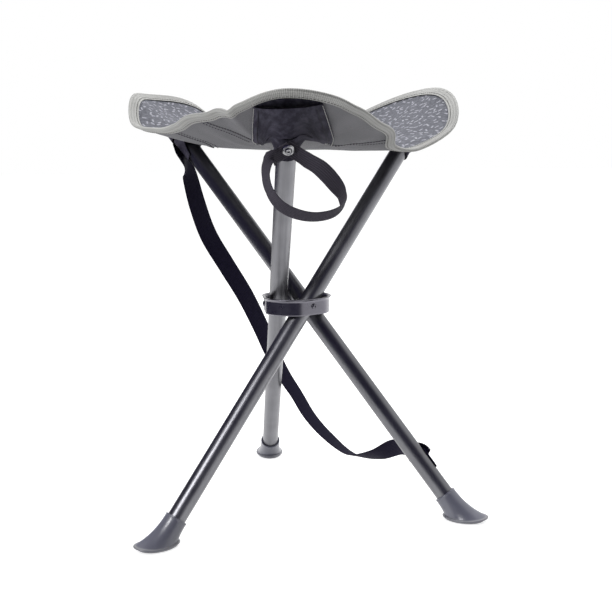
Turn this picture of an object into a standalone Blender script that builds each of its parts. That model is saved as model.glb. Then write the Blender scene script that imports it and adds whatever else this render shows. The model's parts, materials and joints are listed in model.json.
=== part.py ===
"""Folding tripod stool: three tubes cross in a ring hub and spread a three-cornered cloth seat."""

import math

import bpy
from mathutils import Matrix, Vector

# Driving sizes, in metres and degrees
TUBE_DIAMETER = 0.020
TUBE_WALL = 0.0012
LEG_TILT = 39.15
LEG_UPPER = 0.248
LEG_LOWER = 0.283
LEG_OFFSET = 0.020
FIT = 0.0003

# Hub ring and rivets
HUB_TALL = 0.0185
HUB_WALL = 0.0025
HUB_BULGE = 0.0032
SPACER_THICK = 0.0017
RIVET_SHANK = 0.0048
RIVET_HEAD = 0.0062
HUB_DROP = 0.0006

# Feet
SOLE_LONG = 0.049
SOLE_WIDE = 0.034
SOLE_STEP = 0.020
BOOT_GRIP = 0.014
BOOT_WALL = 0.0017

# Cloth seat
CLOTH_THICK = 0.0012
SEAT_SAG = 0.0213
BOWL_POWER = 2.4
CORNER_LIFT = (0.0088, 0.0012, 0.0020)
BINDING_LIP = 0.010
BINDING_THICK = 0.0008
POCKET_WIDE = (0.068, 0.112)
POCKET_MOUTH = 0.945
POCKET_END = 0.50
POCKET_THICK = 0.0010
TAB_LONG = 0.025
TAB_THICK = 0.0012

# Seat edge every 15 degrees from the first corner: share of the leg tips' radius, rise over them
RIM = (
    (1.300, 0.0282), (1.247, 0.0206), (1.053, 0.0035), (0.915, -0.0052),
    (0.785, -0.0194), (0.878, -0.0227), (1.102, -0.0004), (1.208, 0.0304),
    (1.252, 0.0485), (1.193, 0.0445), (0.983, 0.0222), (0.846, 0.0027),
    (0.808, -0.0087), (0.888, -0.0095), (1.046, 0.0019), (1.190, 0.0388),
    (1.288, 0.0456), (1.223, 0.0403), (1.122, 0.0088), (0.937, 0.0011),
    (0.877, 0.0044), (0.913, 0.0111), (0.940, 0.0132), (1.101, 0.0178),
)

# Webbing and its fixings
SCREW_BELOW_TIP = 0.0177
LOOP_WIDE = 0.016
LOOP_THICK = 0.0014
STRAP_WIDE = 0.025
STRAP_THICK = 0.0016
STRAP_ABOVE_END = 0.0554
CUP_DIAMETER = 0.0125
SCREW_SHANK = 0.0035

# Values that follow from those above
RADIUS = TUBE_DIAMETER / 2
TILT = math.radians(LEG_TILT)
HUB_HEIGHT = (LEG_LOWER + SOLE_STEP) * math.cos(TILT)
FLAT_IN = LEG_OFFSET + RADIUS + SPACER_THICK + 2 * FIT
FLAT_OUT = FLAT_IN + HUB_WALL
BEARINGS = [math.radians(b) for b in (180, 300, 60)]
LEGS = "abc"
TIP_RADIUS = math.hypot(LEG_OFFSET, LEG_UPPER * math.sin(TILT))
TIP_HEIGHT = LEG_UPPER * math.cos(TILT)
SCREW_S = LEG_UPPER - SCREW_BELOW_TIP
STRAP_S = STRAP_ABOVE_END - LEG_LOWER
TAB_LEVEL = RADIUS + FIT + TAB_THICK
TURN = 2 * math.pi / 3
FIRST_CORNER = math.atan2(-LEG_UPPER * math.sin(TILT), -LEG_OFFSET)

for old in list(bpy.data.objects):
    bpy.data.objects.remove(old, do_unlink=True)
parts = bpy.data.collections.new("tripod_stool")
cutters = bpy.data.collections.new("cutters")
bpy.context.scene.collection.children.link(parts)
bpy.context.scene.collection.children.link(cutters)


def material(name, colour, roughness, metallic=0.0):
    made = bpy.data.materials.new(name)
    made.use_nodes = True
    shader = made.node_tree.nodes["Principled BSDF"]
    shader.inputs["Base Color"].default_value = (*colour, 1)
    shader.inputs["Roughness"].default_value = roughness
    shader.inputs["Metallic"].default_value = metallic
    return made


def empty(name, parent, location=(0, 0, 0), rotation=(0, 0, 0)):
    made = bpy.data.objects.new(name, None)
    parts.objects.link(made)
    made.parent = parent
    made.location = location
    made.rotation_euler = rotation
    return made


def place(name, mesh, parent, look, location=(0, 0, 0), rotation=(0, 0, 0), group=parts):
    made = bpy.data.objects.new(name, mesh)
    group.objects.link(made)
    made.parent = parent
    made.location = location
    made.rotation_euler = rotation
    if look:
        mesh.materials.append(look)
    for face in mesh.polygons:
        face.use_smooth = True
    return made


def revolve(name, profile, parent, look, steps=24, ring=False, **where):
    """A turned piece: the profile of (radius, height) runs down its outer side."""
    count = len(profile)
    edges = [(i, i + 1) for i in range(count - 1)] + ([(count - 1, 0)] if ring else [])
    mesh = bpy.data.meshes.new(name)
    mesh.from_pydata([(r, 0, z) for r, z in profile], edges, [])
    made = place(name, mesh, parent, look, **where)
    screw = made.modifiers.new("turn", "SCREW")
    screw.steps = screw.render_steps = steps
    screw.use_merge_vertices = True
    screw.merge_threshold = 0.00001
    screw.use_smooth_shade = True
    return made


def rows_mesh(name, rows, wrap, middle=None, loop=False, caps=False):
    """Quads between rows of points; wrap joins each row's ends, loop the last row to the first."""
    wide = len(rows[0])
    points = [p for row in rows for p in row]
    faces = []
    for i in range(len(rows) if loop else len(rows) - 1):
        low, high = i * wide, (i + 1) % len(rows) * wide
        for j in range(wide if wrap else wide - 1):
            k = (j + 1) % wide
            faces.append((low + j, low + k, high + k, high + j))
    if middle is not None:
        points.append(middle)
        faces += [(len(points) - 1, (j + 1) % wide, j) for j in range(wide)]
    if caps:
        top = (len(rows) - 1) * wide
        faces += [tuple(range(wide))[::-1], tuple(range(top, top + wide))]
    mesh = bpy.data.meshes.new(name)
    mesh.from_pydata(points, [], faces)
    return mesh


def shell(name, rows, thick, parent, look, wrap=False, middle=None):
    """An open surface thickened evenly to both sides."""
    made = place(name, rows_mesh(name, rows, wrap, middle), parent, look)
    solid = made.modifiers.new("thickness", "SOLIDIFY")
    solid.thickness = thick
    solid.offset = 0
    return made


def bore(name, radius, low, high, parent, **where):
    """A hidden round cutter along its own Z."""
    profile = [(0, high), (radius, high), (radius, low), (0, low)]
    made = revolve(name, profile, parent, None, steps=20, group=cutters, **where)
    made.hide_render = True
    made.display_type = "WIRE"
    return made


def cut(piece, cutter):
    hole = piece.modifiers.new(cutter.name, "BOOLEAN")
    hole.operation = "DIFFERENCE"
    hole.solver = "EXACT"
    hole.object = cutter


def smooth(points, per):
    """Points along a centripetal Catmull-Rom curve through the given ones."""
    knots = [2 * points[0] - points[1], *points, 2 * points[-1] - points[-2]]
    made = []
    for a, b, c, d in zip(knots, knots[1:], knots[2:], knots[3:]):
        t1 = (b - a).length ** 0.5
        t2 = t1 + (c - b).length ** 0.5
        t3 = t2 + (d - c).length ** 0.5
        for k in range(per):
            t = t1 + (t2 - t1) * k / per
            ab = a + (b - a) * (t / t1)
            bc = b + (c - b) * ((t - t1) / (t2 - t1))
            cd = c + (d - c) * ((t - t2) / (t3 - t2))
            abc = ab + (bc - ab) * (t / t2)
            bcd = bc + (cd - bc) * ((t - t1) / (t3 - t1))
            made.append(abc + (bcd - abc) * ((t - t1) / (t2 - t1)))
    return [*made, points[-1].copy()]


def ribbon(name, stops, wide, thick, per, parent, look):
    """Flat webbing along stops of (point, facing)."""
    line = smooth([p for p, _ in stops], per)
    faces = []
    for (_, a), (_, b) in zip(stops, stops[1:]):
        faces += [a.lerp(b, k / per) for k in range(per)]
    faces.append(stops[-1][1])
    rows = []
    for i, (point, facing) in enumerate(zip(line, faces)):
        run = line[min(i + 1, len(line) - 1)] - line[max(i - 1, 0)]
        side = run.cross(facing).normalized() * (wide / 2)
        rows.append((point - side, point, point + side))
    return shell(name, rows, thick, parent, look)


steel = material("satin_steel", (0.42, 0.42, 0.45), 0.32, 0.9)
zinc = material("zinc_plate", (0.55, 0.55, 0.57), 0.35, 1.0)
hub_paint = material("hub_steel", (0.16, 0.15, 0.22), 0.3, 0.8)
rubber = material("boot_rubber", (0.11, 0.11, 0.14), 0.7)
plastic = material("plug_plastic", (0.03, 0.03, 0.035), 0.5)
cloth = material("seat_cloth", (0.16, 0.165, 0.19), 0.9)
tape = material("binding_tape", (0.36, 0.36, 0.33), 0.85)
lining = material("pocket_cloth", (0.04, 0.038, 0.05), 0.9)
webbing = material("webbing", (0.018, 0.017, 0.022), 0.75)

stool = empty("stool", None, (0, 0, HUB_HEIGHT))
seat_frame = empty("seat_frame", stool)
pivots = []
axles = []
axis_frames = []
for letter, bearing in zip(LEGS, BEARINGS):
    spot = (LEG_OFFSET * math.cos(bearing), LEG_OFFSET * math.sin(bearing), 0)
    pivots.append(empty("pivot_" + letter, stool, spot, (0, 0, bearing)))
    axles.append(empty("axis_" + letter, pivots[-1], (0, 0, 0), (-TILT, 0, 0)))
    upright = Matrix.Translation(spot) @ Matrix.Rotation(bearing, 4, "Z")
    axis_frames.append(upright @ Matrix.Rotation(-TILT, 4, "X"))


# Hub ring: a round ring with three pressed flats and a rolled upper lip

def ring_radius(angle, out):
    """Outline of the ring at an angle, grown by out."""
    nearest = min(abs((angle - b + math.pi) % (2 * math.pi) - math.pi) for b in BEARINGS)
    return min(FLAT_OUT + HUB_BULGE + out, (FLAT_OUT + out) / math.cos(nearest))


half = HUB_TALL / 2
section = (
    (-0.0011, -half),
    (-0.0003, -half + 0.0003),
    (0, -half + 0.0012),
    (0, half - 0.0034),
    (0.0007, half - 0.0020),
    (0.0018, half - 0.0010),
    (0.0020, half - 0.0004),
    (0.0015, half),
    (0, half),
    (-0.0012, half - 0.0007),
    (-HUB_WALL, half - 0.0024),
    (-HUB_WALL, -half + 0.0008),
    (0.0005 - HUB_WALL, -half),
)
corner = math.acos(FLAT_OUT / (FLAT_OUT + HUB_BULGE))
angles = []
for bearing in BEARINGS:
    angles += [bearing - corner + 2 * corner * k / 7 for k in range(7)]
    angles += [bearing + corner + (TURN - 2 * corner) * k / 14 for k in range(14)]
rows = []
for angle in sorted(a % (2 * math.pi) for a in angles):
    rows.append(
        [
            (ring_radius(angle, out) * math.cos(angle), ring_radius(angle, out) * math.sin(angle), z)
            for out, z in section
        ]
    )
ring_mesh = rows_mesh("hub_ring", rows, True, loop=True)
hub_ring = place("hub_ring", ring_mesh, stool, hub_paint, location=(0, 0, -HUB_DROP))

# Foot shape: lofted from the oval sole on the floor to the round collar on the tube

SIN, COS = math.sin(TILT), math.cos(TILT)
FOOT_STEPS = 28


def hoop(radius, drop):
    """A round of points about the tube, below the collar's top."""
    made = []
    for k in range(FOOT_STEPS):
        turn = 2 * math.pi * k / FOOT_STEPS
        s = BOOT_GRIP - LEG_LOWER - drop
        spoke = Vector((math.cos(turn), COS * math.sin(turn), -SIN * math.sin(turn)))
        made.append(Vector((0, s * SIN, s * COS)) + spoke * radius)
    return made


def oval(grow, rise, shift=0.0):
    """A level oval of points over the floor."""
    made = []
    for k in range(FOOT_STEPS):
        turn = 2 * math.pi * k / FOOT_STEPS
        x = (SOLE_WIDE / 2 + grow) * math.cos(turn)
        y = (SOLE_LONG / 2 + grow * 1.5) * math.sin(turn) + shift
        made.append(Vector((x, y - HUB_HEIGHT * math.tan(TILT) - 0.0025, rise - HUB_HEIGHT)))
    return made


grip = RADIUS + FIT + BOOT_WALL
first = hoop(grip, 0.0006)
last = oval(0, 0.0065)
rings = [hoop(grip - 0.0005, 0), first]
for share in (0.2, 0.42, 0.64, 0.82, 0.94, 1.0):
    hollow = 4 * share * (1 - share) * 0.0016
    row = []
    for k, (a, b) in enumerate(zip(first, last)):
        toe = max(0.0, -math.sin(2 * math.pi * k / FOOT_STEPS))
        row.append(a.lerp(b, share) + Vector((0, 0.7, -0.6)) * (hollow * toe))
    rings.append(row)
rings.append(oval(0, 0.0050))
rings.append(oval(-0.0012, 0.0043, 0.0004))
rings.append(oval(-0.0022, 0.0006, 0.0017))
rings.append(oval(-0.0028, 0, 0.0020))
rings.reverse()

# Legs: tube, plug, foot, rivet and spacers of each

for letter, pivot, axle in zip(LEGS, pivots, axles):
    low = -LEG_LOWER
    high = LEG_UPPER - 0.0022
    wall = RADIUS - TUBE_WALL
    tube = revolve(
        "leg_tube_" + letter,
        [(RADIUS, high), (RADIUS, low), (wall, low), (wall, high)],
        axle,
        steel,
        steps=36,
        ring=True,
    )
    across = (0, math.radians(90), 0)
    rivet_bore = bore("rivet_bore_" + letter, RIVET_SHANK / 2 + FIT, -0.03, 0.03, pivot, rotation=across)
    cut(tube, rivet_bore)
    cut(hub_ring, rivet_bore)
    screw_bore = bore(
        "screw_bore_" + letter,
        SCREW_SHANK / 2 + FIT,
        0.002,
        RADIUS + 0.02,
        axle,
        location=(0, 0, SCREW_S),
        rotation=(math.radians(-90), 0, 0),
    )
    cut(tube, screw_bore)

    spigot = wall - FIT
    revolve(
        "top_plug_" + letter,
        [
            (0, LEG_UPPER),
            (RADIUS - 0.0012, LEG_UPPER),
            (RADIUS, LEG_UPPER - 0.0009),
            (RADIUS, high + FIT),
            (spigot, high + FIT),
            (spigot - 0.0006, high - 0.0095),
            (0, high - 0.0095),
        ],
        axle,
        plastic,
        steps=28,
    )

    head = RIVET_HEAD / 2
    shank = RIVET_SHANK / 2
    outside = FLAT_OUT - LEG_OFFSET + FIT
    inside = -(RADIUS + FIT + 0.0008 + FIT)
    revolve(
        "hub_rivet_" + letter,
        [
            (0, outside + 0.0010),
            (head * 0.30, outside + 0.0010),
            (head * 0.38, outside + 0.0019),
            (head * 0.62, outside + 0.0019),
            (head * 0.90, outside + 0.0012),
            (head, outside + 0.0004),
            (head, outside),
            (shank, outside),
            (shank, inside),
            (head * 0.95, inside),
            (head * 0.95, inside - 0.0006),
            (head * 0.7, inside - 0.0015),
            (0, inside - 0.0017),
        ],
        pivot,
        zinc,
        steps=20,
        rotation=across,
    )
    revolve(
        "rivet_washer_" + letter,
        [
            (head + 0.001, -RADIUS - FIT),
            (head + 0.001, -RADIUS - FIT - 0.0008),
            (shank + FIT, -RADIUS - FIT - 0.0008),
            (shank + FIT, -RADIUS - FIT),
        ],
        pivot,
        zinc,
        steps=20,
        ring=True,
        rotation=across,
    )
    spacer_top = RADIUS + FIT + SPACER_THICK
    spacer = revolve(
        "leg_spacer_" + letter,
        [(0, spacer_top), (0.0055, spacer_top), (0.0055, RADIUS * 0.7), (0, RADIUS * 0.7)],
        pivot,
        plastic,
        rotation=across,
    )
    cut(spacer, bore("tube_space_" + letter, RADIUS + FIT, -0.02, 0.02, axle))
    cut(spacer, rivet_bore)

    boot = place("foot_boot_" + letter, rows_mesh("foot_boot", rings, True, caps=True), pivot, rubber)
    cut(boot, bore("boot_bore_" + letter, RADIUS + FIT, low - 0.0005, low + 0.03, axle))


# Cloth seat: a trefoil bowl whose lobes stand over the leg tips

def rim(angle):
    """Radius and height of the seat's edge at an angle, on a smooth curve through its table."""
    place_in = (angle - FIRST_CORNER) % (2 * math.pi) / (2 * math.pi) * len(RIM)
    first = int(place_in)
    a, b, c, d = (Vector(RIM[(first + k) % len(RIM)]) for k in (-1, 0, 1, 2))
    w = place_in - first
    found = b + (c - a) * (w / 2)
    found += (2 * a - 5 * b + 4 * c - d) * (w**2 / 2) + (3 * b - a - 3 * c + d) * (w**3 / 2)
    return found[0] * TIP_RADIUS, TIP_HEIGHT + found[1]


def seat_point(angle, share):
    """Point of the cloth's middle surface, share running from the middle to the edge."""
    far, high = rim(angle)
    middle = TIP_HEIGHT - SEAT_SAG
    x = far * share * math.cos(angle)
    y = far * share * math.sin(angle)
    z = middle + (high - middle) * share**BOWL_POWER
    for i, lift in enumerate(CORNER_LIFT):
        tip = FIRST_CORNER + i * TURN
        near = (TIP_RADIUS - 0.006) * math.cos(tip) - x, (TIP_RADIUS - 0.006) * math.sin(tip) - y
        z += lift * math.exp(-(near[0] ** 2 + near[1] ** 2) / (2 * 0.021**2))
    return Vector((x, y, z))


def seat_normal(angle, share):
    along = seat_point(angle + 0.02, share) - seat_point(angle - 0.02, share)
    out = seat_point(angle, share + 0.02) - seat_point(angle, share - 0.02)
    return out.cross(along).normalized()


around = [FIRST_CORNER + 2 * math.pi * k / 72 for k in range(72)]
shares = (0.16, 0.34, 0.52, 0.66, 0.76, 0.85, 0.94, 1.0)
rows = [[seat_point(a, share) for a in around] for share in shares]
middle = seat_point(0.0, 0.0001)
shell("seat_panel", rows, CLOTH_THICK, seat_frame, cloth, wrap=True, middle=middle)

cover = CLOTH_THICK / 2 + FIT + BINDING_THICK / 2 + 0.0001
rows = [[] for _ in range(5)]
for angle in around:
    lip = 1 - BINDING_LIP / rim(angle)[0]
    edge = seat_point(angle, 1)
    up = seat_normal(angle, 0.98) * cover
    lip_up = seat_normal(angle, lip) * cover
    inner = seat_point(angle, lip)
    along = seat_point(angle + 0.02, 1) - seat_point(angle - 0.02, 1)
    nose = edge + along.cross(up).normalized() * 0.0022
    for row, point in zip(rows, (inner + lip_up, edge + up, nose, edge - up, inner - lip_up)):
        row.append(point)
shell("edge_binding", rows, BINDING_THICK, seat_frame, tape, wrap=True)

# Corner pockets and tabs: cloth sewn under each lobe, closing round the leg at its screw

pocket_hang = CLOTH_THICK / 2 + POCKET_THICK / 2 + 0.0007
for i, (letter, frame) in enumerate(zip(LEGS, axis_frames)):
    tip = FIRST_CORNER + i * TURN
    target = frame @ Vector((0, TAB_LEVEL + 0.0003, SCREW_S + 0.0104))
    share = 0.7
    for _ in range(12):
        foot = seat_point(tip, share)
        normal = seat_normal(tip, share)
        out = (seat_point(tip, share + 0.01) - foot) / 0.01
        missing = target - (foot - normal * (foot - target).dot(normal))
        share += missing.dot(out) / out.length_squared
    deep = (seat_point(tip, share) - target).dot(seat_normal(tip, share)) - pocket_hang
    rows = []
    for step in range(8):
        w = step / 7
        hang = 0.009 + (deep - 0.009) * w
        row = []
        for k in range(15):
            u = k / 7 - 1
            part = min(max((abs(u) - 0.25) / 0.45, 0.0), 1.0)
            end = share + (POCKET_END - share) * part * part * (3 - 2 * part)
            here = POCKET_MOUTH + (end - POCKET_MOUTH) * w
            wide = POCKET_WIDE[0] + (POCKET_WIDE[1] - POCKET_WIDE[0]) * w
            angle = tip + u * wide / 2 / (here * rim(tip)[0])
            near = 1 - w + w * math.exp(-((abs(u) / 0.45) ** 3))
            drop = pocket_hang + hang * (1 - u * u) * near
            row.append(seat_point(angle, here) - seat_normal(angle, here) * drop)
        rows.append(row)
    shell("corner_pocket_" + letter, rows, POCKET_THICK, seat_frame, lining)

    back = frame.inverted()
    tab_rows = []
    radius = RADIUS + FIT + TAB_THICK / 2
    for step in range(7):
        w = step / 6
        s = SCREW_S + 0.0084 - TAB_LONG * w
        row = []
        for k in range(13):
            v = k / 6 - 1
            swing = v * math.radians(86)
            point = Vector((radius * math.sin(swing), radius * math.cos(swing), s))
            spread = rows[-1][10 - k // 2].lerp(rows[-1][10 - (k + 1) // 2], 0.5)
            flare = (1 - w) ** 2.5 * max(0.0, (abs(v) - 0.35) / 0.65) ** 1.2
            reach = back @ spread - Vector((0, 0.0008, 0.0050))
            row.append(frame @ point.lerp(reach, flare))
        tab_rows.append(row)
    tab = shell("corner_tab_" + letter, tab_rows, TAB_THICK, seat_frame, lining)
    cut(tab, bpy.data.objects["screw_bore_" + letter])

# Hand loop: webbing whose two ends lie under the first leg's seat screw

n = Vector((0, math.cos(TILT), -math.sin(TILT)))
u = Vector((0, math.sin(TILT), math.cos(TILT)))
clamp = u * SCREW_S + n * RADIUS
under = n * (TAB_LEVEL - RADIUS + 2 * FIT + LOOP_THICK / 2)
over = under + n * (LOOP_THICK + FIT)
leave = Vector((-0.82, 0, 0)) - u * 0.57
arrive = Vector((-0.8, 0, 0)) + u * 0.6
stops = [
    (under - leave * 0.004, n),
    (under, n),
    (under + leave * 0.009, n),
    (Vector((-0.018, 0.004, -0.013)), Vector((-0.15, 0.85, -0.5))),
    (Vector((-0.030, 0.010, -0.021)), Vector((-0.3, 0.8, -0.45))),
    (Vector((-0.042, 0.013, -0.034)), Vector((-0.45, 0.75, -0.4))),
    (Vector((-0.050, 0.012, -0.046)), Vector((-0.75, 0.5, -0.25))),
    (Vector((-0.051, 0.009, -0.055)), Vector((-0.8, 0.3, -0.5))),
    (Vector((-0.043, 0.007, -0.063)), Vector((-0.4, 0.55, -0.75))),
    (Vector((-0.025, 0.008, -0.0665)), Vector((0, 0.6, -0.8))),
    (Vector((-0.006, 0.012, -0.063)), Vector((0.2, 0.65, -0.75))),
    (Vector((0.010, 0.016, -0.054)), Vector((0.6, 0.6, -0.5))),
    (Vector((0.019, 0.016, -0.041)), Vector((0.8, 0.5, -0.2))),
    (Vector((0.022, 0.012, -0.027)), Vector((0.78, 0.55, 0.0))),
    (Vector((0.019, 0.008, -0.014)), Vector((0.55, 0.75, -0.3))),
    (over - arrive * 0.009, n),
    (over, n),
    (over + arrive * 0.004, n),
]
stops = [(clamp + p, facing) for p, facing in stops]
loop = ribbon("hand_loop", stops, LOOP_WIDE, LOOP_THICK, 3, pivots[0], webbing)
cut(loop, bpy.data.objects["screw_bore_a"])

# Carry strap: webbing from the third leg's seat screw, behind the hub, to its lower end

frame = axis_frames[2]
level = TAB_LEVEL + 1.5 * FIT + STRAP_THICK / 2
down_leg = frame.to_3x3() @ Vector((0, 0, -1))
face = frame.to_3x3() @ Vector((0, 1, 0))
hold = frame @ Vector((0, level, SCREW_S))
stops = [
    (hold - down_leg * 0.007, face),
    (hold, face),
    (hold + down_leg * 0.0075, face),
    (hold + down_leg * 0.0140 + face * 0.0034, face),
]
course = (
    (-0.765, 0.611, 0.763, -0.62, 0.68, -0.32),
    (-0.682, 0.678, 0.556, -0.53, 0.80, -0.20),
    (-0.604, 0.716, 0.364, -0.50, 0.83, -0.20),
    (-0.470, 0.729, 0.168, -0.50, 0.82, -0.24),
    (-0.330, 0.741, -0.030, -0.50, 0.82, -0.26),
    (-0.215, 0.748, -0.231, -0.52, 0.78, -0.32),
    (-0.132, 0.741, -0.398, -0.55, 0.70, -0.42),
    (-0.033, 0.710, -0.562, -0.60, 0.60, -0.52),
    (0.064, 0.653, -0.688, -0.62, 0.52, -0.60),
    (0.148, 0.557, -0.804, -0.58, 0.46, -0.67),
    (0.268, 0.418, -0.909, -0.45, 0.36, -0.80),
    (0.441, 0.241, -1.013, -0.12, 0.14, -0.97),
    (0.612, 0.076, -0.983, 0.25, 0.45, -0.85),
    (0.736, -0.063, -0.924, 0.45, 0.75, -0.45),
)
for x, y, z, a, b, c in course:
    stops.append((Vector((x * TIP_RADIUS, y * TIP_RADIUS, z * TIP_HEIGHT)), Vector((a, b, c))))
wrap = RADIUS + FIT + STRAP_THICK / 2
for turn in (-8, 8, 26, 44, 62, 78):
    bend = math.radians(max(turn, 0))
    lead = min(turn, 0) * 0.001
    spot = Vector((wrap * math.cos(bend), -wrap * math.sin(bend) - lead, STRAP_S))
    out = frame.to_3x3() @ Vector((math.cos(bend), -math.sin(bend), 0))
    stops.append((frame @ spot, out))
upright = Matrix.Translation(pivots[2].location) @ Matrix.Rotation(BEARINGS[2], 4, "Z")
home = upright.inverted()
stops = [(home @ p, home.to_3x3() @ facing) for p, facing in stops]
strap = ribbon("carry_strap", stops, STRAP_WIDE, STRAP_THICK, 3, pivots[2], webbing)
cut(strap, bpy.data.objects["screw_bore_c"])
strap_bore = bore(
    "strap_bore",
    0.0018,
    0.002,
    RADIUS + 0.012,
    axles[2],
    location=(0, 0, STRAP_S),
    rotation=(0, math.radians(90), 0),
)
cut(strap, strap_bore)
cut(bpy.data.objects["leg_tube_c"], strap_bore)

# Screws and cup washers that hold cloth and webbing to the tubes


def fixing(screw_name, cup_name, seat, cup, shank, axle, s, rotation):
    """A dished washer and a screw whose head lies in it, both turned about the screw's line."""
    where = {"location": (0, 0, s), "rotation": rotation}
    revolve(
        cup_name,
        [
            (cup * 0.66, seat + 0.0019),
            (cup * 0.88, seat + 0.0013),
            (cup, seat + 0.0002),
            (cup, seat),
            (shank + FIT, seat),
            (shank + FIT, seat + 0.0007),
            (cup * 0.40, seat + 0.0009),
            (cup * 0.58, seat + 0.0017),
        ],
        axle,
        zinc,
        ring=True,
        **where,
    )
    head = cup * 0.50
    revolve(
        screw_name,
        [
            (0, seat + 0.0015),
            (head * 0.42, seat + 0.0015),
            (head * 0.50, seat + 0.0028),
            (head * 0.80, seat + 0.0026),
            (head * 0.94, seat + 0.0021),
            (shank + 0.0004, seat + 0.0013),
            (shank, seat + 0.0010),
            (shank, 0.0040),
            (shank * 0.4, 0.0030),
            (0, 0.0030),
        ],
        axle,
        zinc,
        steps=20,
        **where,
    )


stacks = (2 * LOOP_THICK + 3 * FIT, 0.0, STRAP_THICK + 1.5 * FIT)
for letter, axle, stack in zip(LEGS, axles, stacks):
    fixing(
        "seat_screw_" + letter,
        "cup_washer_" + letter,
        TAB_LEVEL + stack + FIT,
        CUP_DIAMETER / 2,
        SCREW_SHANK / 2,
        axle,
        SCREW_S,
        (math.radians(-90), 0, 0),
    )
fixing(
    "strap_screw",
    "strap_washer",
    RADIUS + FIT + STRAP_THICK + FIT,
    0.0045,
    0.0015,
    axles[2],
    STRAP_S,
    (0, math.radians(90), 0),
)

# Stand the stool over the origin: its box, without the loose strap, is centred there
bpy.context.view_layer.update()
graph = bpy.context.evaluated_depsgraph_get()
spots = []
for piece in parts.objects:
    if piece.type == "MESH" and piece.name != "carry_strap":
        seen = piece.evaluated_get(graph)
        solid = seen.to_mesh()
        spots += [seen.matrix_world @ v.co for v in solid.vertices]
        seen.to_mesh_clear()
for k in range(2):
    values = [spot[k] for spot in spots]
    stool.location[k] = -(min(values) + max(values)) / 2
bpy.context.view_layer.update()
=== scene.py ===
"""Looks of a folding tripod stool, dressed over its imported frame."""

import json
import math

import bpy
import numpy as np
from mathutils import Matrix, Vector


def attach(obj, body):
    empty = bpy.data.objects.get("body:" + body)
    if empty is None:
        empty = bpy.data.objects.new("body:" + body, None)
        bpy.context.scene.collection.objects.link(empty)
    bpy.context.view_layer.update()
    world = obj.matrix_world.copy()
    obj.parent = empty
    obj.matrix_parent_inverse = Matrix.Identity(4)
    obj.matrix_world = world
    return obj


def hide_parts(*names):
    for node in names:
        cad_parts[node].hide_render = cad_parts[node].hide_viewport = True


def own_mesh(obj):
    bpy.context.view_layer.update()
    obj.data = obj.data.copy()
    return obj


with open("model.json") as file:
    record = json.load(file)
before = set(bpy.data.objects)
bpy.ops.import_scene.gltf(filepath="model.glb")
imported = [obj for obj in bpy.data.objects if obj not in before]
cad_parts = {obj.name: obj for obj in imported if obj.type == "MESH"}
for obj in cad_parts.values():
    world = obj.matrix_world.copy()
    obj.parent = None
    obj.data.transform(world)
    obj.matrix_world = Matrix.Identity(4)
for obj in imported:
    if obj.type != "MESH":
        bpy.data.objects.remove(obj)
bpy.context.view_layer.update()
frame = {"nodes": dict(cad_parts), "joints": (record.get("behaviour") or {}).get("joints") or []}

# Hub: a steel band pressed to a ring with three flats, its upper edge rolled outwards to a lip.
# It is stove-enamelled a dark ink grey, and each leg turns on a rivet through one of the flats.

hinges = {j["child"][-1]: j for j in frame["joints"] if j["name"].endswith("_fold")}
pivots = {letter: Vector(j["pos_m"]) for letter, j in hinges.items()}
hub_middle = sum(pivots.values(), Vector()) / 3
flat_bearings = {letter: math.atan2(j["axis"][1], j["axis"][0]) for letter, j in hinges.items()}


class Wire:
    """A node's output that plain sums and products can use."""

    def __init__(self, tree, socket):
        self.tree = tree
        self.socket = socket

    def math(self, operation, *values):
        return node(self.tree, "ShaderNodeMath", dict(enumerate(values)), operation=operation)

    def __add__(self, other):
        return self.math("ADD", self, other)

    def __sub__(self, other):
        return self.math("SUBTRACT", self, other)

    def __rsub__(self, other):
        return self.math("SUBTRACT", other, self)

    def __mul__(self, other):
        return self.math("MULTIPLY", self, other)

    __radd__ = __add__
    __rmul__ = __mul__

    def also(self, out):
        """Another output of the same node."""
        return Wire(self.tree, self.socket.node.outputs[out])

    def sine(self, pitch):
        """A sine wave along this value, with one turn in each pitch."""
        turned = self * (2 * math.pi / pitch)
        return turned.math("SINE", turned)

    def ramp(self, low, high):
        """Smooth rise from 0 at low to 1 at high."""
        values = {0: self, 1: low, 2: high, 3: 0.0, 4: 1.0}
        return node(self.tree, "ShaderNodeMapRange", values, interpolation_type="SMOOTHSTEP")

    def between(self, first, second):
        """The first colour at 0 and the second at 1."""
        ends = [c if isinstance(c, Wire) else (*c, 1) for c in (first, second)]
        values = {0: self, 6: ends[0], 7: ends[1]}
        return node(self.tree, "ShaderNodeMix", values, out=2, data_type="RGBA")


def node(tree, kind, values=None, out=0, **settings):
    made = tree.nodes.new(kind)
    for key, value in settings.items():
        setattr(made, key, value)
    for key, value in (values or {}).items():
        if isinstance(value, Wire):
            tree.links.new(value.socket, made.inputs[key])
        else:
            made.inputs[key].default_value = value
    return Wire(tree, made.outputs[out])


def finish_of(name, **fixed):
    """A new material with its shader's constant values set; returns it with its tree and shader."""
    made = bpy.data.materials.new(name)
    made.use_nodes = True
    shader = made.node_tree.nodes["Principled BSDF"]
    for key, value in fixed.items():
        shader.inputs[key.replace("_", " ").title().replace("Ior", "IOR")].default_value = value
    return made, made.node_tree, shader


def feed(tree, shader, **wires):
    for key, wire in wires.items():
        tree.links.new(wire.socket, shader.inputs[key.replace("_", " ").title()])


def bump(tree, height, deep):
    return node(tree, "ShaderNodeBump", {"Height": height, "Distance": deep, "Strength": 1.0})


def grain(tree, where, scale, detail=2.0):
    values = {"Vector": where, "Scale": scale, "Detail": detail, "Roughness": 0.55}
    return node(tree, "ShaderNodeTexNoise", values)


def at_object(tree):
    return node(tree, "ShaderNodeTexCoord", out="Object")


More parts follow.
